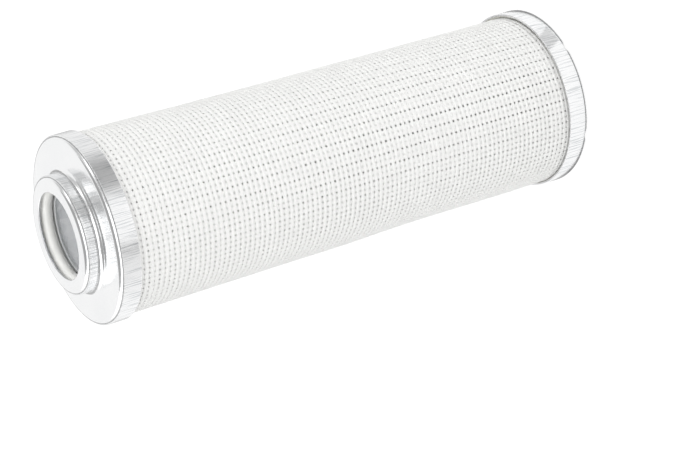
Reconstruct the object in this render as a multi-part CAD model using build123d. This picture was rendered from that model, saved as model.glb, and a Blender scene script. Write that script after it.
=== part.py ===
from build123d import *
import math
import os

# Hydraulic filter element: a pleated glass fibre cartridge between two drawn steel caps.
# It stands on its closed end. The axis is +Z, the neck points up, and the origin is the
# centre of the closed cap's flat face. Millimetres and degrees.

# Whole element
face_height = 226.9
cap_outer_radius = 39.0
cap_sheet = 1.0
cap_corner_radius = 2.0

# Open end cap with its drawn neck
open_skirt_height = 9.3
neck_height = 7.2
neck_outer_radius = 24.4
neck_root_radius = 2.2
neck_shoulder_radius = 1.9
neck_bore_radius = 17.9

# Closed end cap with its pressed dents
closed_skirt_height = 10.1
dent_count = 6
dent_first_angle = -1.0
dent_tool_radius = 4.0
dent_depth = 1.5
dent_lean = 62.0  # way that the tool came from, below the horizontal

# Seal and its seat in the neck
seal_section = 5.5
seal_proud = 0.2
seat_sheet = 1.0
seat_above_face = 0.1
seat_brim_width = 7.8

# Perforated core tube
core_outer_radius = 20.6
core_wall = 0.8
core_seat_clearance = 0.1
core_hole_diameter = 5.0
core_holes_around = 10
core_hole_rows = 16
core_plain_end = 14.0

# Pleated pack, from the dirty side to the clean side
pleat_count = 48
pleat_first_angle = 7.45
seam_side_angle = 90.0
outer_mesh_thickness = 0.25
pre_fleece_thickness = 0.2
media_thickness = 0.4
drain_fleece_thickness = 0.2
inner_mesh_thickness = 0.25
outer_fold_radius = 0.95
inner_fold_radius = 0.75
pack_core_clearance = 0.1
pack_sleeve_clearance = 0.1

# Clip over the pack's long seam
clip_sheet = 0.4
clip_leg = 6.0
clip_end_gap = 0.05
clip_fit = 0.05

# Net sleeve round the pack
sleeve_outer_radius = 37.3
sleeve_wall = 0.5
sleeve_slot_width = 1.2
sleeve_slots_along = 2
sleeve_slot_end = 14.0
sleeve_slot_bridge = 4.0
sleeve_seam_width = 6.0
sleeve_seam_height = 0.5

# Adhesive that the ends are set in
potting_under_ends = 0.8
open_potting_depth = 5.5
closed_potting_depth = 7.8
core_potting_depth = 3.0

# Places worked out from the sizes above
mouth_height = face_height + neck_height
cap_inner_radius = cap_outer_radius - cap_sheet
closed_floor = cap_sheet
open_ceiling = face_height - cap_sheet
seat_top = face_height + seat_above_face
seat_outer_radius = core_outer_radius + core_seat_clearance + seat_sheet
seat_brim_radius = seat_outer_radius + seat_brim_width
dent_reach = cap_corner_radius + dent_tool_radius - dent_depth
dent_centre_radius = cap_outer_radius - cap_corner_radius + dent_reach * math.cos(math.radians(dent_lean))
dent_centre_height = cap_corner_radius - dent_reach * math.sin(math.radians(dent_lean))
dent_bulge_top = dent_centre_height + dent_tool_radius + cap_sheet
lower_end = max(closed_floor, dent_bulge_top - cap_sheet) + potting_under_ends
upper_end = open_ceiling - seat_sheet - potting_under_ends
core_upper_end = seat_top - seat_sheet
sleeve_inner_radius = sleeve_outer_radius - sleeve_wall
pleat_pitch = 360 / pleat_count

layer_names = [
    "outer_support_mesh",
    "pre_filter_fleece",
    "glass_fibre_media",
    "drainage_fleece",
    "inner_support_mesh",
]
layer_thicknesses = [
    outer_mesh_thickness,
    pre_fleece_thickness,
    media_thickness,
    drain_fleece_thickness,
    inner_mesh_thickness,
]
pack_thickness = sum(layer_thicknesses)
pack_outer_radius = sleeve_inner_radius - pack_sleeve_clearance
pack_inner_radius = core_outer_radius + pack_core_clearance
outer_fold_centre = pack_outer_radius - outer_fold_radius - pack_thickness / 2
inner_fold_centre = pack_inner_radius + inner_fold_radius + pack_thickness / 2
seam_angle = pleat_first_angle + seam_side_angle // pleat_pitch * pleat_pitch


def polar(radius, angle):
    """Point in the XY plane at a radius and an angle in degrees."""
    return Vector(radius, 0, 0).rotate(Axis.Z, angle)


def turned(profile_lines):
    """Solid of revolution from a closed outline given as (radius, height) points and arcs."""
    return revolve(Plane.XZ * make_face(profile_lines), Axis.Z)


def ring(inner_radius, outer_radius, low, high):
    """Plain ring between two radii and two heights."""
    outer = Cylinder(outer_radius, high - low, align=(Align.CENTER, Align.CENTER, Align.MIN))
    inner = Cylinder(inner_radius, high - low, align=(Align.CENTER, Align.CENTER, Align.MIN))
    return Pos(0, 0, low) * (outer - inner)


def quarter(centre, radius, start, size):
    """Arc about a centre in the profile plane, from a start angle through a size."""
    return CenterArc(centre, radius, start, size)


def open_end_cap():
    """Cap drawn from one sheet: skirt, face and a stepped neck with a turned-in lip."""
    skirt_edge = face_height - open_skirt_height
    corner_centre = (cap_outer_radius - cap_corner_radius, face_height - cap_corner_radius)
    root_centre = (neck_outer_radius + neck_root_radius, face_height + neck_root_radius)
    shoulder_centre = (neck_outer_radius - neck_shoulder_radius, mouth_height - neck_shoulder_radius)
    neck_inner_radius = neck_outer_radius - cap_sheet
    outline = [
        Line((cap_inner_radius, skirt_edge), (cap_outer_radius, skirt_edge)),
        Line((cap_outer_radius, skirt_edge), (cap_outer_radius, corner_centre[1])),
        quarter(corner_centre, cap_corner_radius, 0, 90),
        Line((corner_centre[0], face_height), (root_centre[0], face_height)),
        quarter(root_centre, neck_root_radius, 180, 90),
        Line((neck_outer_radius, root_centre[1]), (neck_outer_radius, shoulder_centre[1])),
        quarter(shoulder_centre, neck_shoulder_radius, 0, 90),
        Line((shoulder_centre[0], mouth_height), (neck_bore_radius, mouth_height)),
        Line((neck_bore_radius, mouth_height), (neck_bore_radius, mouth_height - cap_sheet)),
        Line((neck_bore_radius, mouth_height - cap_sheet), (shoulder_centre[0], mouth_height - cap_sheet)),
        quarter(shoulder_centre, neck_shoulder_radius - cap_sheet, 0, 90),
        Line((neck_inner_radius, shoulder_centre[1]), (neck_inner_radius, root_centre[1])),
        quarter(root_centre, neck_root_radius + cap_sheet, 180, 90),
        Line((root_centre[0], open_ceiling), (corner_centre[0], open_ceiling)),
        quarter(corner_centre, cap_corner_radius - cap_sheet, 0, 90),
        Line((cap_inner_radius, corner_centre[1]), (cap_inner_radius, skirt_edge)),
    ]
    return turned(outline)


def closed_cap_blank(offset):
    """Solid inside the closed cap's outer skin, moved inwards by an offset, with its dents."""
    radius = cap_outer_radius - offset
    corner = cap_corner_radius - offset
    corner_centre = (cap_outer_radius - cap_corner_radius, cap_corner_radius)
    outline = [
        Line((0, offset), (corner_centre[0], offset)),
        quarter(corner_centre, corner, 270, 90),
        Line((radius, corner_centre[1]), (radius, closed_skirt_height)),
        Line((radius, closed_skirt_height), (0, closed_skirt_height)),
        Line((0, closed_skirt_height), (0, offset)),
    ]
    blank = turned(outline)
    for index in range(dent_count):
        angle = dent_first_angle + index * 360 / dent_count
        tool_place = polar(dent_centre_radius, angle) + Vector(0, 0, dent_centre_height)
        blank -= Pos(tool_place) * Sphere(dent_tool_radius + offset)
    return blank


def closed_end_cap():
    """Drawn cap without an opening, dented in from its corner."""
    return closed_cap_blank(0) - closed_cap_blank(cap_sheet)


def neck_seal():
    """O-ring that lies on the seat inside the neck and grips the spigot."""
    centre_radius = neck_bore_radius - seal_proud + seal_section / 2
    centre_height = seat_top + seal_section / 2
    return Pos(0, 0, centre_height) * Torus(centre_radius, seal_section / 2)


def seal_seat():
    """Hat-shaped pressed ring: carries the seal, centres the core tube, rests under the face."""
    inner_wall = seat_outer_radius - seat_sheet
    brim_low = open_ceiling - seat_sheet
    corners = [
        (neck_bore_radius, seat_top),
        (seat_outer_radius, seat_top),
        (seat_outer_radius, open_ceiling),
        (seat_brim_radius, open_ceiling),
        (seat_brim_radius, brim_low),
        (inner_wall, brim_low),
        (inner_wall, seat_top - seat_sheet),
        (neck_bore_radius, seat_top - seat_sheet),
    ]
    return turned(Polyline(*corners, close=True).edges())


def plain_core():
    """Core tube before it is perforated."""
    return ring(core_outer_radius - core_wall, core_outer_radius, lower_end, core_upper_end)


def core_tube():
    """Perforated support tube with plain ends, its holes staggered from row to row."""
    first_row = lower_end + core_plain_end
    row_step = (core_upper_end - core_plain_end - first_row) / (core_hole_rows - 1)
    hole_step = 360 / core_holes_around
    drill = Cylinder(core_hole_diameter / 2, 4 * core_wall)
    holes = []
    for row in range(core_hole_rows):
        for index in range(core_holes_around):
            angle = (index + row % 2 / 2) * hole_step
            place = polar(core_outer_radius, angle) + Vector(0, 0, first_row + row * row_step)
            holes.append(Pos(place) * Rot(0, 90, angle) * drill)
    return plain_core() - holes


def fold_line(shift):
    """Edges of the pleat line, moved outwards by a shift, from one seam end to the other."""
    outer_radius = outer_fold_radius + shift
    inner_radius = inner_fold_radius - shift
    outer_point = polar(outer_fold_centre, 0)
    inner_point = polar(inner_fold_centre, pleat_pitch / 2)
    span = inner_point - outer_point
    lean = math.degrees(math.acos((outer_fold_radius + inner_fold_radius) / span.length))
    normal = span.normalized().rotate(Axis.Z, -lean)
    leg_top = outer_point + normal * outer_radius
    leg_foot = inner_point - normal * inner_radius
    fold_top = polar(outer_fold_centre + outer_radius, 0)
    fold_foot = polar(inner_fold_centre - inner_radius, pleat_pitch / 2)
    seam_top = leg_top + (leg_top - leg_foot).normalized() * seam_end_rise()
    edges = []
    for index in range(pleat_count):
        angle = seam_angle + index * pleat_pitch
        first = index == 0
        last = index == pleat_count - 1
        start = seam_top if first else leg_top
        finish = seam_top if last else leg_top
        foot_mirror = mirrored(leg_foot, pleat_pitch / 2)
        next_top = mirrored(finish, pleat_pitch / 2)
        edges.append(Line(start.rotate(Axis.Z, angle), leg_foot.rotate(Axis.Z, angle)))
        foot_points = [leg_foot, fold_foot, foot_mirror]
        edges.append(ThreePointArc(*[point.rotate(Axis.Z, angle) for point in foot_points]))
        edges.append(Line(foot_mirror.rotate(Axis.Z, angle), next_top.rotate(Axis.Z, angle)))
        if not last:
            top_points = [mirrored(leg_top, 0), fold_top, leg_top]
            turn = angle + pleat_pitch
            edges.append(ThreePointArc(*[point.rotate(Axis.Z, turn) for point in top_points]))
    return edges


def mirrored(point, angle):
    """Point mirrored in the plane that holds the axis and stands at an angle."""
    flat = point.rotate(Axis.Z, -angle)
    return Vector(flat.X, -flat.Y, 0).rotate(Axis.Z, angle)


def seam_end_rise():
    """Length that the two seam legs run past their fold, up to the clip."""
    return outer_fold_radius + pack_thickness / 2 - clip_sheet - clip_end_gap


def pleated_layer(outer_shift, inner_shift, low, high):
    """Layer of the pack between two shifts from the pleat line."""
    outer = fold_line(outer_shift)
    inner = fold_line(inner_shift)
    first_end = Line(outer[0] @ 0, inner[0] @ 0)
    last_end = Line(outer[-1] @ 1, inner[-1] @ 1)
    face = make_face(outer + inner + [first_end, last_end])
    return Pos(0, 0, low) * extrude(face, high - low)


def pleat_layers():
    """The five layers of the pack, nested face to face."""
    layers = {}
    shift = pack_thickness / 2
    for name, thickness in zip(layer_names, layer_thicknesses):
        layers[name] = pleated_layer(shift, shift - thickness, lower_end, upper_end)
        shift -= thickness
    return layers


def pleat_seam_clip():
    """Folded strip that holds the two end legs of the pack together."""
    half_pack = outer_fold_radius + pack_thickness / 2
    top = outer_fold_centre + half_pack - clip_end_gap
    half_inside = half_pack + clip_fit
    height = upper_end - lower_end
    low_corner = (Align.MAX, Align.CENTER, Align.MIN)
    outside = Box(clip_leg, 2 * (half_inside + clip_sheet), height, align=low_corner)
    inside = Box(clip_leg - clip_sheet, 2 * half_inside, height, align=low_corner)
    clip = Pos(top, 0, 0) * (outside - Pos(-clip_sheet, 0, 0) * inside)
    return Rot(0, 0, seam_angle) * Pos(0, 0, lower_end) * clip


def plain_sleeve():
    """Sleeve's wall with its lapped seam, before it is opened."""
    seam_radius = sleeve_outer_radius + sleeve_seam_height
    strip_corner = (Align.MIN, Align.CENTER, Align.MIN)
    strip = Box(seam_radius, sleeve_seam_width, upper_end - lower_end, align=strip_corner)
    lap = ring(sleeve_inner_radius, seam_radius, lower_end, upper_end)
    lap &= Pos(0, 0, lower_end) * Rot(0, 0, seam_angle) * strip
    return ring(sleeve_inner_radius, sleeve_outer_radius, lower_end, upper_end) + lap


def outer_sleeve():
    """Net sleeve, simplified to one wall with slots over the pleat valleys."""
    length = upper_end - lower_end
    net_length = length - 2 * sleeve_slot_end - (sleeve_slots_along - 1) * sleeve_slot_bridge
    slot_length = net_length / sleeve_slots_along
    slot = Box(8 * sleeve_wall, sleeve_slot_width, slot_length, align=(Align.CENTER, Align.CENTER, Align.MIN))
    slots = []
    for index in range(1, pleat_count - 1):
        angle = seam_angle + (index + 0.5) * pleat_pitch
        for step in range(sleeve_slots_along):
            height = lower_end + sleeve_slot_end + step * (slot_length + sleeve_slot_bridge)
            slots.append(Rot(0, 0, angle) * Pos(sleeve_outer_radius, 0, height) * slot)
    return plain_sleeve() - slots


def open_cap_space():
    """Space inside the open cap's skirt, rounded as its corner is, up to the face."""
    space = Cylinder(cap_inner_radius, open_skirt_height, align=(Align.CENTER, Align.CENTER, Align.MAX))
    rim = space.faces().sort_by(Axis.Z)[-1].edges()
    return Pos(0, 0, open_ceiling) * fillet(rim, cap_corner_radius - cap_sheet)


def open_end_potting(held):
    """Adhesive under the open cap's face, outside the core tube and round the seat's brim."""
    filling = ring(core_outer_radius, cap_inner_radius, open_ceiling - open_potting_depth, open_ceiling)
    brim = Cylinder(seat_brim_radius, seat_sheet, align=(Align.CENTER, Align.CENTER, Align.MAX))
    return (filling & open_cap_space()) - (Pos(0, 0, open_ceiling) * brim) - held


def closed_end_potting(held):
    """Adhesive on the closed cap's floor, with a thinner film inside the core tube."""
    filling = ring(core_outer_radius, cap_inner_radius, closed_floor, closed_floor + closed_potting_depth)
    film = Cylinder(core_outer_radius, core_potting_depth, align=(Align.CENTER, Align.CENTER, Align.MIN))
    filling += Pos(0, 0, closed_floor) * film
    return (filling & closed_cap_blank(cap_sheet)) - held


os.makedirs("parts", exist_ok=True)

clip = pleat_seam_clip()
whole_pack = pleated_layer(pack_thickness / 2, -pack_thickness / 2, lower_end, upper_end)
held = [whole_pack, clip, plain_core(), plain_sleeve()]

parts = {
    "open_end_cap": open_end_cap(),
    "closed_end_cap": closed_end_cap(),
    "neck_seal": neck_seal(),
    "seal_seat": seal_seat(),
    "core_tube": core_tube(),
    "pleat_seam_clip": clip,
    "outer_sleeve": outer_sleeve(),
    "open_end_potting": open_end_potting(held),
    "closed_end_potting": closed_end_potting(held),
}
parts.update(pleat_layers())

for name, part in parts.items():
    part.label = name
    export_step(part, f"parts/{name}.step")
    print(name, round(part.volume, 1), len(part.solids()))
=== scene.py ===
import math
import random

import bmesh
import bpy
from mathutils import Matrix, Vector


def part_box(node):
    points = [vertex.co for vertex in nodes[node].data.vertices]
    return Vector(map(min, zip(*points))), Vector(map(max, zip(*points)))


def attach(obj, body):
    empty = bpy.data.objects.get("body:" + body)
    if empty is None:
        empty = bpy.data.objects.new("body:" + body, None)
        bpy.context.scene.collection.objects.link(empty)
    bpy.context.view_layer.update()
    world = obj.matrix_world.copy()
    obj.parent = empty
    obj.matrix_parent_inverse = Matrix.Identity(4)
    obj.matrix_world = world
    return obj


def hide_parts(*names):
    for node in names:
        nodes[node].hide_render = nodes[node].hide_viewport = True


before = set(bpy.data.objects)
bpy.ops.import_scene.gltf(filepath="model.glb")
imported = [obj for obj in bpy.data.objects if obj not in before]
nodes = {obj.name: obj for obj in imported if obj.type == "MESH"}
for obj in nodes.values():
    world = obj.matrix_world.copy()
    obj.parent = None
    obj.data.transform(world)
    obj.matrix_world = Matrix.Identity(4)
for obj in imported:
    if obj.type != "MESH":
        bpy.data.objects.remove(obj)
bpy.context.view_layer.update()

mm = 0.001
chance = random.Random(48)
print("frame loaded:", len(nodes), "nodes")


# Camera, at the photo's viewing angle: the element stands here, so the camera is rolled
camera = {
    "place": (65.1, -760.4, 515.7),
    "right": (-0.24481, -0.48297, -0.84072),
    "up": (0.96285, -0.0192, -0.26935),
    "lens": 105.47,
    "sensor": 36.0,
}


def addCamera():
    data = bpy.data.cameras.new("photoCamera")
    data.lens = camera["lens"]
    data.sensor_width = camera["sensor"]
    holder = bpy.data.objects.new("photoCamera", data)
    right = Vector(camera["right"]).normalized()
    back = right.cross(Vector(camera["up"])).normalized()
    up = back.cross(right)
    turn = Matrix((right, up, back)).transposed().to_4x4()
    holder.matrix_world = Matrix.Translation(Vector(camera["place"]) * mm) @ turn
    bpy.context.scene.collection.objects.link(holder)
    bpy.context.scene.camera = holder
    return right, up, back


photoRight, photoUp, photoBack = addCamera()
bpy.context.scene.view_settings.view_transform = "Standard"
print("camera placed")


# Colours are sRGB hex values, turned to linear here
def linear(hexValue):
    channels = []
    for place in (1, 3, 5):
        value = int(hexValue[place:place + 2], 16) / 255
        channels.append(value / 12.92 if value <= 0.04045 else ((value + 0.055) / 1.055) ** 2.4)
    return (*channels, 1.0)


# Scale of a pattern whose real size is given in millimetres
def patternScale(size):
    return 1 / size / mm


# Adds one node, sets its properties, and fills or links its inputs
def addNode(tree, kind, settings=None, inputs=None):
    node = tree.nodes.new(kind)
    for name, value in (settings or {}).items():
        setattr(node, name, value)
    for name, value in (inputs or {}).items():
        if isinstance(value, bpy.types.NodeSocket):
            tree.links.new(value, node.inputs[name])
        else:
            node.inputs[name].default_value = value
    return node


def newMaterial(name, inputs):
    material = bpy.data.materials.new(name)
    material.use_nodes = True
    tree = material.node_tree
    shader = tree.nodes["Principled BSDF"]
    for socket, value in inputs.items():
        shader.inputs[socket].default_value = value
    return material, tree, shader


# Object coordinates unrolled about the axis: arc length at a radius, distance from the axis, height
def unrolled(tree, radius):
    place = addNode(tree, "ShaderNodeTexCoord").outputs["Object"]
    parts = addNode(tree, "ShaderNodeSeparateXYZ", inputs={"Vector": place}).outputs
    angle = addNode(tree, "ShaderNodeMath", {"operation": "ARCTAN2"}, {0: parts["Y"], 1: parts["X"]})
    arc = addNode(tree, "ShaderNodeMath", {"operation": "MULTIPLY"}, {0: angle.outputs[0], 1: radius})
    flat = addNode(tree, "ShaderNodeCombineXYZ", inputs={"X": parts["X"], "Y": parts["Y"]})
    away = addNode(tree, "ShaderNodeVectorMath", {"operation": "LENGTH"}, {0: flat.outputs[0]})
    sockets = {"X": arc.outputs[0], "Y": away.outputs["Value"], "Z": parts["Z"]}
    return addNode(tree, "ShaderNodeCombineXYZ", inputs=sockets).outputs[0]


# Zinc-plated steel, deep drawn: bright, with fine draw marks along the skirt and cloudy plating.
# Real draw marks are about 0.1 mm wide; they are drawn coarser here, so that they show.
def zincSteel():
    look = {
        "clear": "#F8F8F8", "cloud": "#EDEEEF", "markTint": "#C6C9CB",
        "wallRadius": 39, "markWidth": 0.6, "markLength": 14.0, "cloudSize": 14.0, "grain": 0.5,
        "smooth": 0.07, "rough": 0.24, "markRange": (0.3, 0.75), "scoreRange": (0.5, 0.36),
        "markDepth": 0.09, "grainDepth": 0.002, "grainStrength": 0.6,
        # marks are strong on walls and faint on flat faces: how far a face leans, then the strength
        "wallLean": 0.2, "faceLean": 0.8, "wallStrength": 0.7, "faceStrength": 0.02,
    }
    material, tree, shader = newMaterial("zincPlatedSteel", {"Metallic": 1.0})
    across = patternScale(look["markWidth"])
    along = patternScale(look["markLength"])
    lines = addNode(tree, "ShaderNodeVectorMath", {"operation": "MULTIPLY"}, {
        0: unrolled(tree, look["wallRadius"] * mm), 1: (across, across, along)})
    marks = addNode(tree, "ShaderNodeTexNoise", inputs={
        "Vector": lines.outputs[0], "Scale": 1.0, "Detail": 3.0})
    spot = addNode(tree, "ShaderNodeTexCoord").outputs["Object"]
    clouds = addNode(tree, "ShaderNodeTexNoise", inputs={
        "Vector": spot, "Scale": patternScale(look["cloudSize"]), "Detail": 4.0, "Roughness": 0.6})
    grain = addNode(tree, "ShaderNodeTexNoise", inputs={
        "Vector": spot, "Scale": patternScale(look["grain"]), "Detail": 2.0})
    tint = addNode(tree, "ShaderNodeMix", {"data_type": "RGBA"}, {
        "Factor": clouds.outputs["Fac"], 6: linear(look["cloud"]), 7: linear(look["clear"])})
    gloss = addNode(tree, "ShaderNodeMapRange", inputs={
        "Value": marks.outputs["Fac"], "From Min": look["markRange"][0],
        "From Max": look["markRange"][1], "To Min": look["smooth"], "To Max": look["rough"]})
    facing = addNode(tree, "ShaderNodeTexCoord").outputs["Normal"]
    lean = addNode(tree, "ShaderNodeSeparateXYZ", inputs={"Vector": facing}).outputs["Z"]
    tip = addNode(tree, "ShaderNodeMath", {"operation": "ABSOLUTE"}, {0: lean})
    drawn = addNode(tree, "ShaderNodeMapRange", inputs={
        "Value": tip.outputs[0], "From Min": look["wallLean"], "From Max": look["faceLean"],
        "To Min": look["wallStrength"], "To Max": look["faceStrength"]})
    low = addNode(tree, "ShaderNodeBump", inputs={
        "Height": marks.outputs["Fac"], "Strength": drawn.outputs[0],
        "Distance": look["markDepth"] * mm})
    fine = addNode(tree, "ShaderNodeBump", inputs={
        "Height": grain.outputs["Fac"], "Strength": look["grainStrength"],
        "Distance": look["grainDepth"] * mm, "Normal": low.outputs["Normal"]})
    scored = addNode(tree, "ShaderNodeMapRange", inputs={
        "Value": marks.outputs["Fac"], "From Min": look["scoreRange"][0],
        "From Max": look["scoreRange"][1], "To Max": 1.0})
    onWall = addNode(tree, "ShaderNodeMath", {"operation": "MULTIPLY"}, {
        0: scored.outputs[0], 1: drawn.outputs[0]})
    worn = addNode(tree, "ShaderNodeMix", {"data_type": "RGBA"}, {
        "Factor": onWall.outputs[0], 6: tint.outputs[2], 7: linear(look["markTint"])})
    tree.links.new(worn.outputs[2], shader.inputs["Base Color"])
    tree.links.new(gloss.outputs[0], shader.inputs["Roughness"])
    tree.links.new(fine.outputs["Normal"], shader.inputs["Normal"])
    return material


# Galvanised sheet, punched and rolled: duller than the caps, with a faint crystal pattern
def galvanisedSheet():
    look = {"light": "#F1F2F3", "dark": "#E2E4E6", "crystal": 5.0, "smooth": 0.48, "rough": 0.6}
    material, tree, shader = newMaterial("galvanisedSheet", {"Metallic": 0.35})
    spot = addNode(tree, "ShaderNodeTexCoord").outputs["Object"]
    crystals = addNode(tree, "ShaderNodeTexVoronoi", inputs={
        "Vector": spot, "Scale": patternScale(look["crystal"])}).outputs["Color"]
    value = addNode(tree, "ShaderNodeSeparateColor", inputs={"Color": crystals}).outputs["Red"]
    tint = addNode(tree, "ShaderNodeMix", {"data_type": "RGBA"}, {
        "Factor": value, 6: linear(look["dark"]), 7: linear(look["light"])})
    gloss = addNode(tree, "ShaderNodeMapRange", inputs={
        "Value": value, "To Min": look["smooth"], "To Max": look["rough"]})
    tree.links.new(tint.outputs[2], shader.inputs["Base Color"])
    tree.links.new(gloss.outputs[0], shader.inputs["Roughness"])
    return material


# Passivated steel, pressed and tumbled: satin, with fine random scuffs
def pressedSteel():
    look = {
        "light": "#E9EAEA", "dark": "#D3D5D6", "scuff": 1.5, "scuffRange": (0.3, 0.7),
        "smooth": 0.34, "rough": 0.5,
    }
    material, tree, shader = newMaterial("pressedSteel", {"Metallic": 0.85})
    spot = addNode(tree, "ShaderNodeTexCoord").outputs["Object"]
    scuffs = addNode(tree, "ShaderNodeTexNoise", inputs={
        "Vector": spot, "Scale": patternScale(look["scuff"]), "Detail": 4.0})
    tint = addNode(tree, "ShaderNodeMix", {"data_type": "RGBA"}, {
        "Factor": scuffs.outputs["Fac"], 6: linear(look["dark"]), 7: linear(look["light"])})
    gloss = addNode(tree, "ShaderNodeMapRange", inputs={
        "Value": scuffs.outputs["Fac"], "From Min": look["scuffRange"][0],
        "From Max": look["scuffRange"][1], "To Min": look["smooth"], "To Max": look["rough"]})
    tree.links.new(tint.outputs[2], shader.inputs["Base Color"])
    tree.links.new(gloss.outputs[0], shader.inputs["Roughness"])
    return material


# Nitrile rubber of a pale grade, moulded and lightly oiled: a soft, slightly uneven sheen.
# The mould's real grain is a few hundredths of a millimetre, and is drawn coarser here.
def nitrileRubber():
    look = {
        "body": "#D6D6D3", "dust": "#E8E8E5", "patch": 4.0, "smooth": 0.16, "rough": 0.34,
        "grain": 0.12, "grainDepth": 0.004, "grainStrength": 0.5,
    }
    material, tree, shader = newMaterial("nitrileRubber", {
        "Coat Weight": 0.35, "Coat Roughness": 0.2})
    spot = addNode(tree, "ShaderNodeTexCoord").outputs["Object"]
    patches = addNode(tree, "ShaderNodeTexNoise", inputs={
        "Vector": spot, "Scale": patternScale(look["patch"])})
    grain = addNode(tree, "ShaderNodeTexNoise", inputs={
        "Vector": spot, "Scale": patternScale(look["grain"])})
    tint = addNode(tree, "ShaderNodeMix", {"data_type": "RGBA"}, {
        "Factor": patches.outputs["Fac"], 6: linear(look["body"]), 7: linear(look["dust"])})
    gloss = addNode(tree, "ShaderNodeMapRange", inputs={
        "Value": patches.outputs["Fac"], "To Min": look["smooth"], "To Max": look["rough"]})
    skin = addNode(tree, "ShaderNodeBump", inputs={
        "Height": grain.outputs["Fac"], "Strength": look["grainStrength"],
        "Distance": look["grainDepth"] * mm})
    tree.links.new(tint.outputs[2], shader.inputs["Base Color"])
    tree.links.new(gloss.outputs[0], shader.inputs["Roughness"])
    tree.links.new(skin.outputs["Normal"], shader.inputs["Normal"])
    return material


# Polyethylene net, extruded: milky off-white strands with a waxy surface that let light through
def netPlastic():
    look = {
        "milk": "#FAFAF9", "grey": "#F5F5F4", "patch": 9.0, "through": 0.5,
        "grain": 0.3, "grainDepth": 0.01, "grainStrength": 0.4,
    }
    material, tree, shader = newMaterial("netPolyethylene", {"Roughness": 0.42, "IOR": 1.51})
    spot = addNode(tree, "ShaderNodeTexCoord").outputs["Object"]
    patches = addNode(tree, "ShaderNodeTexNoise", inputs={
        "Vector": spot, "Scale": patternScale(look["patch"]), "Detail": 3.0})
    grain = addNode(tree, "ShaderNodeTexNoise", inputs={
        "Vector": spot, "Scale": patternScale(look["grain"])})
    tint = addNode(tree, "ShaderNodeMix", {"data_type": "RGBA"}, {
        "Factor": patches.outputs["Fac"], 6: linear(look["grey"]), 7: linear(look["milk"])})
    skin = addNode(tree, "ShaderNodeBump", inputs={
        "Height": grain.outputs["Fac"], "Strength": look["grainStrength"],
        "Distance": look["grainDepth"] * mm})
    tree.links.new(tint.outputs[2], shader.inputs["Base Color"])
    tree.links.new(skin.outputs["Normal"], shader.inputs["Normal"])
    through = addNode(tree, "ShaderNodeBsdfTranslucent", inputs={"Color": tint.outputs[2]})
    mixed = addNode(tree, "ShaderNodeMixShader", inputs={
        0: look["through"], 1: shader.outputs[0], 2: through.outputs[0]})
    tree.links.new(mixed.outputs[0], tree.nodes["Material Output"].inputs["Surface"])
    return material


# Coated wire cloth, plain woven: light grey wires, with painted shade in the openings between them.
# Real cloth has a wire every 0.2 mm or so; the weave is drawn coarser here, so that it shows.
def wireCloth():
    look = {
        "wire": "#FCFCFC", "mesh": "#F0F0F0", "packRadius": 30, "pitch": 0.6, "wireShare": 0.5,
        "weaveDepth": 0.08, "weaveStrength": 0.5,
    }
    material, tree, shader = newMaterial("coatedWireCloth", {"Roughness": 0.5})
    flow = unrolled(tree, look["packRadius"] * mm)
    sides = addNode(tree, "ShaderNodeSeparateXYZ", inputs={"Vector": flow}).outputs
    turnsPerMetre = math.tau / look["pitch"] / mm
    waves = []
    for axis in ("Y", "Z"):
        phase = addNode(tree, "ShaderNodeMath", {"operation": "MULTIPLY"}, {
            0: sides[axis], 1: turnsPerMetre})
        wave = addNode(tree, "ShaderNodeMath", {"operation": "COSINE"}, {0: phase.outputs[0]})
        waves.append(wave.outputs[0])
    top = addNode(tree, "ShaderNodeMath", {"operation": "MAXIMUM"}, {0: waves[0], 1: waves[1]})
    height = addNode(tree, "ShaderNodeMapRange", inputs={
        "Value": top.outputs[0], "From Min": -look["wireShare"],
        "From Max": look["wireShare"]}).outputs[0]
    # painted shade: the low places between the wires take the darker mesh colour, as shade falls through
    # the openings
    tint = addNode(tree, "ShaderNodeMix", {"data_type": "RGBA"}, {
        "Factor": height, 6: linear(look["mesh"]), 7: linear(look["wire"])})
    weave = addNode(tree, "ShaderNodeBump", inputs={
        "Height": height, "Strength": look["weaveStrength"], "Distance": look["weaveDepth"] * mm})
    tree.links.new(tint.outputs[2], shader.inputs["Base Color"])
    tree.links.new(weave.outputs["Normal"], shader.inputs["Normal"])
    return material


# Polyester fleece and glass fibre felt: matt, with loose fibres in every direction.
# Real fibres are a few hundredths of a millimetre thick, and are drawn coarser here.
fibreLooks = {
    "polyesterFleece": {"light": "#F2F2EF", "shade": "#D9D9D4", "fibre": 0.25},
    "glassFibreFelt": {"light": "#F8F8F6", "shade": "#E8E8E4", "fibre": 0.15},
}


def fibreSheet(name):
    look = fibreLooks[name]
    material, tree, shader = newMaterial(name, {"Roughness": 0.9, "Sheen Weight": 0.2})
    spot = addNode(tree, "ShaderNodeTexCoord").outputs["Object"]
    fibres = addNode(tree, "ShaderNodeTexNoise", inputs={
        "Vector": spot, "Scale": patternScale(look["fibre"]), "Detail": 5.0, "Distortion": 2.0})
    tint = addNode(tree, "ShaderNodeMix", {"data_type": "RGBA"}, {
        "Factor": fibres.outputs["Fac"], 6: linear(look["shade"]), 7: linear(look["light"])})
    felt = addNode(tree, "ShaderNodeBump", inputs={
        "Height": fibres.outputs["Fac"], "Strength": 0.6, "Distance": 0.05 * mm})
    tree.links.new(tint.outputs[2], shader.inputs["Base Color"])
    tree.links.new(felt.outputs["Normal"], shader.inputs["Normal"])
    return material


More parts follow.
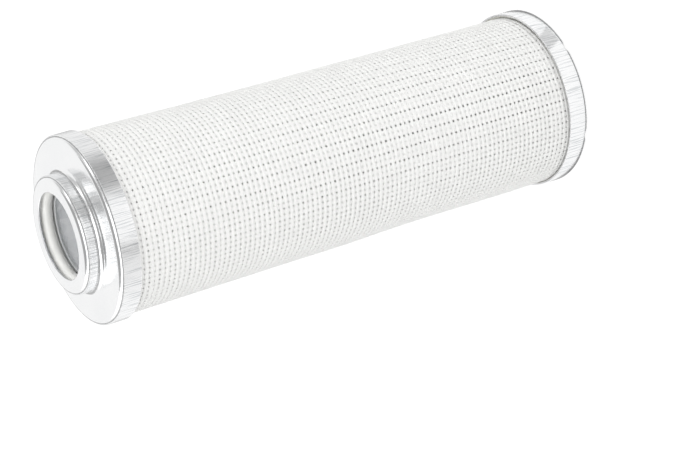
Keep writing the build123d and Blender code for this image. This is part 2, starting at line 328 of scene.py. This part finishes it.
# Epoxy adhesive, poured and cured in the cap: pale, glossy, with faint flow clouds
def castEpoxy():
    look = {"pale": "#EFEEE8", "deep": "#DDDBD0", "cloud": 6.0}
    material, tree, shader = newMaterial("castEpoxy", {
        "Roughness": 0.28, "Coat Weight": 0.3, "IOR": 1.55})
    spot = addNode(tree, "ShaderNodeTexCoord").outputs["Object"]
    clouds = addNode(tree, "ShaderNodeTexNoise", inputs={
        "Vector": spot, "Scale": patternScale(look["cloud"])})
    tint = addNode(tree, "ShaderNodeMix", {"data_type": "RGBA"}, {
        "Factor": clouds.outputs["Fac"], 6: linear(look["deep"]), 7: linear(look["pale"])})
    tree.links.new(tint.outputs[2], shader.inputs["Base Color"])
    return material


zinc = zincSteel()
galvanised = galvanisedSheet()
seatSteel = pressedSteel()
rubber = nitrileRubber()
netWhite = netPlastic()
cloth = wireCloth()
fleece = fibreSheet("polyesterFleece")
felt = fibreSheet("glassFibreFelt")
epoxy = castEpoxy()
print("materials made")


# 1 where the plain white backdrop is seen: straight on, mirrored, or through the net
def backdropRays(tree):
    rays = addNode(tree, "ShaderNodeLightPath").outputs
    direct = addNode(tree, "ShaderNodeMath", {"operation": "MAXIMUM"}, {
        0: rays["Is Camera Ray"], 1: rays["Is Glossy Ray"]})
    every = addNode(tree, "ShaderNodeMath", {"operation": "MAXIMUM"}, {
        0: direct.outputs[0], 1: rays["Is Transmission Ray"]})
    return every.outputs[0]


def onlyVerts(items):
    return [item for item in items if isinstance(item, bmesh.types.BMVert)]


# Spins all of a bmesh about the axis, closed on itself after a whole turn
def spinRound(bm, steps, turn=math.tau):
    bmesh.ops.spin(bm, geom=bm.verts[:] + bm.edges[:], cent=(0, 0, 0), axis=(0, 0, 1), angle=turn,
                   steps=steps, use_merge=turn == math.tau, use_duplicate=False)


def newObject(name, bm, material):
    mesh = bpy.data.meshes.new(name)
    bm.to_mesh(mesh)
    bm.free()
    mesh.materials.append(material)
    made = bpy.data.objects.new(name, mesh)
    bpy.context.scene.collection.objects.link(made)
    return made


# Turns a bmesh into a finished piece that rides on the element
def finishPiece(name, bm, material, replaced):
    weldGap = 0.0005
    bmesh.ops.remove_doubles(bm, verts=bm.verts, dist=weldGap * mm)
    bmesh.ops.recalc_face_normals(bm, faces=bm.faces)
    for face in bm.faces:
        face.smooth = True
    piece = newObject(name, bm, material)
    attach(piece, "root")
    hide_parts(replaced)
    print(name, "made:", len(piece.data.polygons), "faces")


# Closed ring turned about the axis: each corner is (radius, height, rounding) in millimetres
def turnedRing(corners, steps, roundSteps, beside=0.1):
    bm = bmesh.new()
    points = [bm.verts.new((corner[0] * mm, 0, corner[1] * mm)) for corner in corners]
    bm.faces.new(points)
    for point, corner in zip(points, corners):
        if corner[2]:
            bmesh.ops.bevel(bm, geom=[point], offset=corner[2] * mm, offset_type="OFFSET",
                            segments=roundSteps, profile=0.5, affect="VERTICES", material=-1,
                            clamp_overlap=False)
    bmesh.ops.delete(bm, geom=bm.faces[:], context="FACES_ONLY")
    # a vertex beside each rounding keeps the straight stretches flat in smooth shading
    for edge in [edge for edge in bm.edges if edge.calc_length() > 4 * beside * mm]:
        near = beside * mm / edge.calc_length()
        start, finish = edge.verts
        bmesh.utils.edge_split(edge, start, near)
        bmesh.utils.edge_split(edge, finish, near)
    spinRound(bm, steps)
    return bm


# Open end cap: skirt, face, stepped neck and turned-in lip, from one drawn sheet
openCap = {
    "sheet": 1.0, "corner": 2.0, "edge": 0.3,
    "neckRadius": 24.4, "neckHeight": 7.2, "root": 2.2, "shoulder": 1.9, "bore": 17.9, "lip": 0.35,
    "steps": 288, "roundSteps": 8,
}


def makeOpenCap():
    low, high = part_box("open_end_cap")
    size = openCap
    outer = high[0] / mm
    mouth = high[2] / mm
    skirtEdge = low[2] / mm
    face = mouth - size["neckHeight"]
    sheet = size["sheet"]
    inner = outer - sheet
    corners = [
        (inner, skirtEdge, size["edge"]), (outer, skirtEdge, size["edge"]),
        (outer, face, size["corner"]), (size["neckRadius"], face, size["root"]),
        (size["neckRadius"], mouth, size["shoulder"]), (size["bore"], mouth, size["lip"]),
        (size["bore"], mouth - sheet, size["lip"]),
        (size["neckRadius"] - sheet, mouth - sheet, size["shoulder"] - sheet),
        (size["neckRadius"] - sheet, face - sheet, size["root"] + sheet),
        (inner, face - sheet, size["corner"] - sheet),
    ]
    bm = turnedRing(corners, size["steps"], size["roundSteps"])
    finishPiece("openEndCap", bm, zinc, "open_end_cap")


makeOpenCap()


# Closed end cap: plain drawn cap, dented in at its corner by a round-nosed tool
closedCap = {
    "sheet": 1.0, "corner": 2.0, "edge": 0.3, "pole": 0.02, "steps": 360, "roundSteps": 10,
    "dents": 6, "firstDent": -1.0, "tool": 4.0, "dentDepth": 1.5, "lean": 62,
    # which vertices are on the inner side: from this share of the sheet up, and this near the wall
    "innerFrom": 0.9, "innerSlack": 0.05,
}


def makeClosedCap():
    low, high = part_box("closed_end_cap")
    size = closedCap
    outer = high[0] / mm
    skirtEdge = high[2] / mm
    sheet = size["sheet"]
    inner = outer - sheet
    corners = [
        (outer, 0, size["corner"]), (outer, skirtEdge, size["edge"]),
        (inner, skirtEdge, size["edge"]), (inner, sheet, size["corner"] - sheet),
        (size["pole"], sheet, 0), (size["pole"], 0, 0),
    ]
    bm = turnedRing(corners, size["steps"], size["roundSteps"])
    reach = size["corner"] + size["tool"] - size["dentDepth"]
    lean = math.radians(size["lean"])
    innerLow = sheet * size["innerFrom"] * mm
    innerAway = (inner + size["innerSlack"]) * mm
    for index in range(size["dents"]):
        angle = math.radians(size["firstDent"] + index * 360 / size["dents"])
        away = outer - size["corner"] + reach * math.cos(lean)
        height = size["corner"] - reach * math.sin(lean)
        nose = Vector((away * math.cos(angle), away * math.sin(angle), height)) * mm
        for vert in bm.verts:
            gap = vert.co - nose
            isInner = vert.co.z > innerLow and vert.co.xy.length < innerAway
            limit = (size["tool"] + (sheet if isInner else 0)) * mm
            if gap.length < limit:
                vert.co = nose + gap.normalized() * limit
    finishPiece("closedEndCap", bm, zinc, "closed_end_cap")


makeClosedCap()


# Seal and its seat inside the neck
neckSeal = {"section": 5.5, "around": 240, "across": 40}
sealSeat = {"bore": 17.9, "hat": 21.7, "sheet": 1.0, "edge": 0.2, "steps": 240, "roundSteps": 3}


def makeNeckSeal():
    low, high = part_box("neck_seal")
    radius = neckSeal["section"] / 2 * mm
    middle = Matrix.Translation((high[0] - radius, 0, (low[2] + high[2]) / 2))
    bm = bmesh.new()
    bmesh.ops.create_circle(bm, segments=neckSeal["across"], radius=radius,
                            matrix=middle @ Matrix.Rotation(math.pi / 2, 4, "X"))
    spinRound(bm, neckSeal["around"])
    finishPiece("neckSeal", bm, rubber, "neck_seal")


def makeSealSeat():
    low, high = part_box("seal_seat")
    size = sealSeat
    top = high[2] / mm
    bottom = low[2] / mm
    brim = high[0] / mm
    sheet = size["sheet"]
    edge = size["edge"]
    corners = [
        (size["bore"], top, edge), (size["hat"], top, edge), (size["hat"], bottom + sheet, 0),
        (brim, bottom + sheet, edge), (brim, bottom, edge), (size["hat"] - sheet, bottom, edge),
        (size["hat"] - sheet, top - sheet, 0), (size["bore"], top - sheet, edge),
    ]
    bm = turnedRing(corners, size["steps"], size["roundSteps"])
    finishPiece("sealSeat", bm, seatSteel, "seal_seat")


makeNeckSeal()
makeSealSeat()


# Net sleeve: flat ring strands over straight strands, two meshes to a pleat, lapped at the far side
net = {
    "pleats": 48, "firstPleat": 3.7, "outer": 37.3, "endGap": 0.6,
    "ringPitch": 2.25, "ringWidth": (1.55, 2.0), "ringThick": 0.38, "ringSteps": 144,
    # a ring strand's section: flat top and foot as shares of its half width, and the eased corner
    "ringTop": 0.55, "ringFoot": 0.8, "ringEase": 0.13,
    "barsPerPleat": 2, "barWidth": 1.8, "barThick": 0.36, "barEase": 0.1, "barSpans": 18,
    "weld": 0.06, "slackAlong": 0.07, "slackAround": 0.06, "swingLength": 31,
    # how far the net stands off along two opposite sides: share of the length, millimetres
    "looseSide": 187.4,
    "standOffLoose": ((0, 0.3), (0.1, 0.45), (0.35, -0.1), (0.53, 0.4), (0.65, 0.25), (1, 0.3)),
    "standOffTight": ((0, -0.25), (0.6, -0.25), (0.75, -0.05), (0.85, 0.25), (0.93, 0.4), (1, 0.4)),
}
netLap = {"width": 6.0, "thick": 0.46, "weld": 0.1, "spans": 2, "angle": 97.45, "edge": 0.12}


def addRings(bm, low, high):
    closedWidth, openWidth = net["ringWidth"]
    width = closedWidth / 2
    outer = net["outer"]
    upper = [(outer, net["ringTop"] * width), (outer - net["ringEase"], width),
             (outer - net["ringThick"], net["ringFoot"] * width)]
    section = upper + [(radius, -height) for radius, height in reversed(upper)]
    points = [bm.verts.new((radius * mm, 0, height * mm)) for radius, height in section]
    face = bm.faces.new(points)
    bmesh.ops.delete(bm, geom=[face], context="FACES_ONLY")
    spinRound(bm, net["ringSteps"])
    pattern = bm.verts[:] + bm.edges[:] + bm.faces[:]
    count = int((high - low) / net["ringPitch"])
    first = low + (high - low - (count - 1) * net["ringPitch"]) / 2
    for index in range(count):
        verts = onlyVerts(bmesh.ops.duplicate(bm, geom=pattern)["geom"])
        lift = first + index * net["ringPitch"] + chance.uniform(-1, 1) * net["slackAlong"]
        widen = 1 + (openWidth / closedWidth - 1) * index / (count - 1)
        bmesh.ops.scale(bm, verts=verts, vec=(1, 1, widen))
        bmesh.ops.translate(bm, verts=verts, vec=(0, 0, lift * mm))
        tilt = Matrix.Rotation(chance.uniform(-1, 1) * net["slackAlong"] / net["outer"], 3, "X")
        bmesh.ops.rotate(bm, verts=verts, cent=(0, 0, lift * mm), matrix=tilt)
    bmesh.ops.delete(bm, geom=onlyVerts(pattern), context="VERTS")


def uprightEdges(bm):
    return [edge for edge in bm.edges if abs(edge.verts[0].co.z - edge.verts[1].co.z) > 1 * mm]


# One straight strip along the sleeve, its long edges eased
def addStrip(bm, away, thick, width, low, high, ease, spans):
    shape = Matrix.Translation((away * mm, 0, (low + high) / 2 * mm)) @ Matrix.Diagonal(
        (thick * mm, width * mm, (high - low) * mm, 1))
    bmesh.ops.create_cube(bm, size=1.0, matrix=shape)
    bmesh.ops.bevel(bm, geom=uprightEdges(bm), offset=ease * mm, offset_type="OFFSET", segments=1,
                    profile=0.5, affect="EDGES", material=-1)
    bmesh.ops.subdivide_edges(bm, edges=uprightEdges(bm), cuts=spans - 1, use_grid_fill=True)


# Straight strands, each with a slight swing of its own
def addBars(bm, low, high):
    away = net["outer"] - net["ringThick"] - net["weld"] + net["barThick"] / 2
    addStrip(bm, away, net["barThick"], net["barWidth"], low, high, net["barEase"], net["barSpans"])
    pattern = bm.verts[:] + bm.edges[:] + bm.faces[:]
    count = net["pleats"] * net["barsPerPleat"]
    swing = net["slackAround"] * mm
    for index in range(count):
        verts = onlyVerts(bmesh.ops.duplicate(bm, geom=pattern)["geom"])
        angle = math.radians(net["firstPleat"] + (index + 0.5) * 360 / count)
        phase = chance.uniform(0, math.tau)
        for vert in verts:
            vert.co.y += swing * math.sin(phase + vert.co.z / mm / net["swingLength"])
        bmesh.ops.rotate(bm, verts=verts, cent=(0, 0, 0), matrix=Matrix.Rotation(angle, 3, "Z"))
    bmesh.ops.delete(bm, geom=onlyVerts(pattern), context="VERTS")


def joinMesh(bm, other):
    scratch = bpy.data.meshes.new("scratch")
    other.to_mesh(scratch)
    other.free()
    bm.from_mesh(scratch)
    bpy.data.meshes.remove(scratch)


def standOff(side, share):
    points = net[side]
    for (start, here), (finish, there) in zip(points, points[1:]):
        if share <= finish:
            break
    part = min(max((share - start) / (finish - start), 0), 1)
    return here + (there - here) * part * part * (3 - 2 * part)


def makeNet():
    low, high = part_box("outer_sleeve")
    bottom = low[2] / mm
    top = high[2] / mm
    sleeve = bmesh.new()
    addRings(sleeve, bottom + net["endGap"], top - net["endGap"])
    bars = bmesh.new()
    addBars(bars, bottom, top)
    joinMesh(sleeve, bars)
    for vert in sleeve.verts:
        share = (vert.co.z - low[2]) / (high[2] - low[2])
        turn = math.atan2(vert.co.y, vert.co.x) - math.radians(net["looseSide"])
        loose = (1 + math.cos(turn)) / 2
        off = loose * standOff("standOffLoose", share) + (1 - loose) * standOff("standOffTight", share)
        vert.co.xy *= 1 + off / net["outer"]
    lap = bmesh.new()
    away = net["outer"] + netLap["thick"] / 2 - netLap["weld"]
    addStrip(lap, away, netLap["thick"], netLap["width"], bottom, top, netLap["edge"], netLap["spans"])
    bmesh.ops.rotate(lap, verts=lap.verts, cent=(0, 0, 0),
                     matrix=Matrix.Rotation(math.radians(netLap["angle"]), 3, "Z"))
    joinMesh(sleeve, lap)
    finishPiece("netSleeve", sleeve, netWhite, "outer_sleeve")


makeNet()


# CAD pieces that keep their shape get their real finish
finishes = {
    "core_tube": galvanised, "pleat_seam_clip": zinc,
    "outer_support_mesh": cloth, "inner_support_mesh": cloth,
    "pre_filter_fleece": fleece, "drainage_fleece": fleece, "glass_fibre_media": felt,
    "open_end_potting": epoxy, "closed_end_potting": epoxy,
}
for name, material in finishes.items():
    piece = nodes[name]
    piece.data.materials.clear()
    piece.data.materials.append(material)
print("CAD pieces finished:", len(finishes))


# Studio: pale floor, soft lamps, and a surround of glowing cards and flags that only glossy surfaces
# see: they are no lamps, and paint the bright and dark reflections on the metal
studio = {
    "floor": 8.0, "floorColour": "#F7F7F7", "floorWhite": 0.85, "floorGlow": 1.04,
    "world": 1.5,
    # lamps aim at the centre; their side is measured along the camera's right, up and back
    "centre": (0, 0, 112), "lampDistance": 1.1,
    "lamps": {
        "topBox": {"side": (-0.35, 1.0, 0.45), "size": 0.9, "watts": 1.0},
        "cameraBox": {"side": (-0.55, -0.1, 0.9), "size": 1.0, "watts": 2.5},
    },
    "surroundRadius": 320, "surroundSteps": 72,
    # heights of each belt, then azimuth and brightness of the cards round it
    "belts": {
        "lowBelt": {"from": 1, "to": 190, "cards": (
            (90, 0.7), (112, 0.6), (130, 1.05), (165, 1.05), (226, 0.85), (237, 0.78), (241, 0.35),
            (245, 0.85), (254, 1.05), (294, 1.05), (304, 0.8), (313, 0.5), (340, 0.44), (353, 0.68),
            (366, 0.9), (416, 0.95), (430, 0.72), (439, 0.4))},
        "rimBelt": {"from": 215, "to": 285, "cards": (
            (90, 0.5), (180, 0.5), (270, 0.3), (360, 0.32), (430, 0.45))},
        "faceBelt": {"from": 285, "to": 335, "cards": (
            (90, 1.05), (150, 1.0), (200, 0.45), (270, 0.3), (350, 0.35), (400, 1.0), (440, 1.05))},
        "highBelt": {"from": 345, "to": 560, "cards": (
            (90, 1.0), (125, 1.0), (140, 1.8), (236, 1.9), (244, 1.6), (248, 0.6), (253, 1.8),
            (287, 1.8), (295, 0.62), (331, 0.6), (341, 1.7), (355, 1.7), (364, 0.62), (392, 0.62),
            (404, 1.0), (440, 1.0))},
    },
    "beltSeam": 90,
    "ceiling": {"size": 0.65, "place": (-30, 85, 640), "bright": 0.4},
    # low flags close round the closed cap: inner and outer radius, azimuths and brightness
    "flagHeight": 0.1,
    "lowFlags": {
        # painted shadow: a dark ring that the cap's corner reflects as the shade where it meets the
        # floor
        "paintedContactShadow": {"inner": 39.4, "outer": 41.4, "from": 0, "to": 360, "bright": 0.3},
        # painted reflection: a grey patch that the closed cap's skirt reflects as a dark smudge
        "paintedCapReflection": {"inner": 42.0, "outer": 60.0, "from": 308, "to": 323, "bright": 0.76},
    },
}


def makeFloor():
    bm = bmesh.new()
    bmesh.ops.create_grid(bm, x_segments=1, y_segments=1, size=studio["floor"] / 2)
    material, tree, shader = newMaterial("studioFloor", {
        "Base Color": linear(studio["floorColour"]), "Roughness": 1.0, "Specular IOR Level": 0.0})
    part = addNode(tree, "ShaderNodeMath", {"operation": "MULTIPLY"}, {
        0: backdropRays(tree), 1: studio["floorWhite"]})
    white = addNode(tree, "ShaderNodeEmission", inputs={
        "Color": (1, 1, 1, 1), "Strength": studio["floorGlow"]})
    mixed = addNode(tree, "ShaderNodeMixShader", inputs={
        0: part.outputs[0], 1: shader.outputs[0], 2: white.outputs[0]})
    tree.links.new(mixed.outputs[0], tree.nodes["Material Output"].inputs["Surface"])
    newObject("floor", bm, material)


def glowMaterial(name, strength):
    material = bpy.data.materials.new(name)
    material.use_nodes = True
    tree = material.node_tree
    tree.nodes.remove(tree.nodes["Principled BSDF"])
    glow = addNode(tree, "ShaderNodeEmission", inputs={"Strength": strength})
    tree.links.new(glow.outputs[0], tree.nodes["Material Output"].inputs["Surface"])
    return material, glow


def standCard(name, bm, material):
    card = newObject(name, bm, material)
    card.visible_camera = False
    card.visible_diffuse = False
    card.visible_shadow = False
    card.visible_transmission = False


def makeBelt(name, belt):
    bm = bmesh.new()
    away = studio["surroundRadius"] * mm
    bm.edges.new([bm.verts.new((away, 0, belt[side] * mm)) for side in ("from", "to")])
    spinRound(bm, studio["surroundSteps"])
    material, glow = glowMaterial(name + "Glow", 1.0)
    tree = material.node_tree
    spot = addNode(tree, "ShaderNodeTexCoord").outputs["Object"]
    parts = addNode(tree, "ShaderNodeSeparateXYZ", inputs={"Vector": spot}).outputs
    # X over Y turns the seam of the ramp to 90 degrees, straight behind the element
    angle = addNode(tree, "ShaderNodeMath", {"operation": "ARCTAN2"}, {0: parts["X"], 1: parts["Y"]})
    share = addNode(tree, "ShaderNodeMath", {"operation": "DIVIDE"}, {0: angle.outputs[0], 1: -math.tau})
    turn = addNode(tree, "ShaderNodeMath", {"operation": "FRACT"}, {0: share.outputs[0]})
    ramp = addNode(tree, "ShaderNodeValToRGB", inputs={"Fac": turn.outputs[0]})
    stops = ramp.color_ramp.elements
    stops.remove(stops[1])
    for index, (azimuth, bright) in enumerate(belt["cards"]):
        place = (azimuth - studio["beltSeam"]) / 360
        stop = stops.new(place) if index else stops[0]
        stop.position = place
        stop.color = (bright, bright, bright, 1)
    tree.links.new(ramp.outputs["Color"], glow.inputs["Color"])
    standCard(name, bm, material)


def makeLowFlag(name, flag):
    start = math.radians(flag["from"])
    way = Vector((math.cos(start), math.sin(start), 0))
    lift = Vector((0, 0, studio["flagHeight"] * mm))
    bm = bmesh.new()
    bm.edges.new([bm.verts.new(way * flag[side] * mm + lift) for side in ("inner", "outer")])
    spinRound(bm, studio["surroundSteps"], math.radians(flag["to"] - flag["from"]))
    material, glow = glowMaterial(name + "Glow", flag["bright"])
    standCard(name, bm, material)


def makeCeiling():
    ceiling = studio["ceiling"]
    bm = bmesh.new()
    place = Matrix.Translation(Vector(ceiling["place"]) * mm)
    bmesh.ops.create_grid(bm, x_segments=1, y_segments=1, size=ceiling["size"] / 2, matrix=place)
    material, glow = glowMaterial("ceilingFlag", ceiling["bright"])
    standCard("ceilingFlag", bm, material)


def makeLamps():
    centre = Vector(studio["centre"]) * mm
    for name, lamp in studio["lamps"].items():
        right, up, back = lamp["side"]
        way = (photoRight * right + photoUp * up + photoBack * back).normalized()
        data = bpy.data.lights.new(name, "AREA")
        data.size = lamp["size"]
        data.energy = lamp["watts"]
        box = bpy.data.objects.new(name, data)
        box.location = centre + way * studio["lampDistance"]
        box.rotation_euler = way.to_track_quat("Z", "Y").to_euler()
        bpy.context.scene.collection.objects.link(box)


def makeWorld():
    world = bpy.data.worlds.new("studioWorld")
    bpy.context.scene.world = world
    world.use_nodes = True
    tree = world.node_tree
    strength = addNode(tree, "ShaderNodeMapRange", inputs={
        "Value": backdropRays(tree), "To Min": studio["world"], "To Max": 1.0})
    tree.nodes["Background"].inputs["Color"].default_value = (1, 1, 1, 1)
    tree.links.new(strength.outputs[0], tree.nodes["Background"].inputs["Strength"])


makeFloor()
for name, belt in studio["belts"].items():
    makeBelt(name, belt)
for name, flag in studio["lowFlags"].items():
    makeLowFlag(name, flag)
makeCeiling()
makeLamps()
makeWorld()
print("studio set")
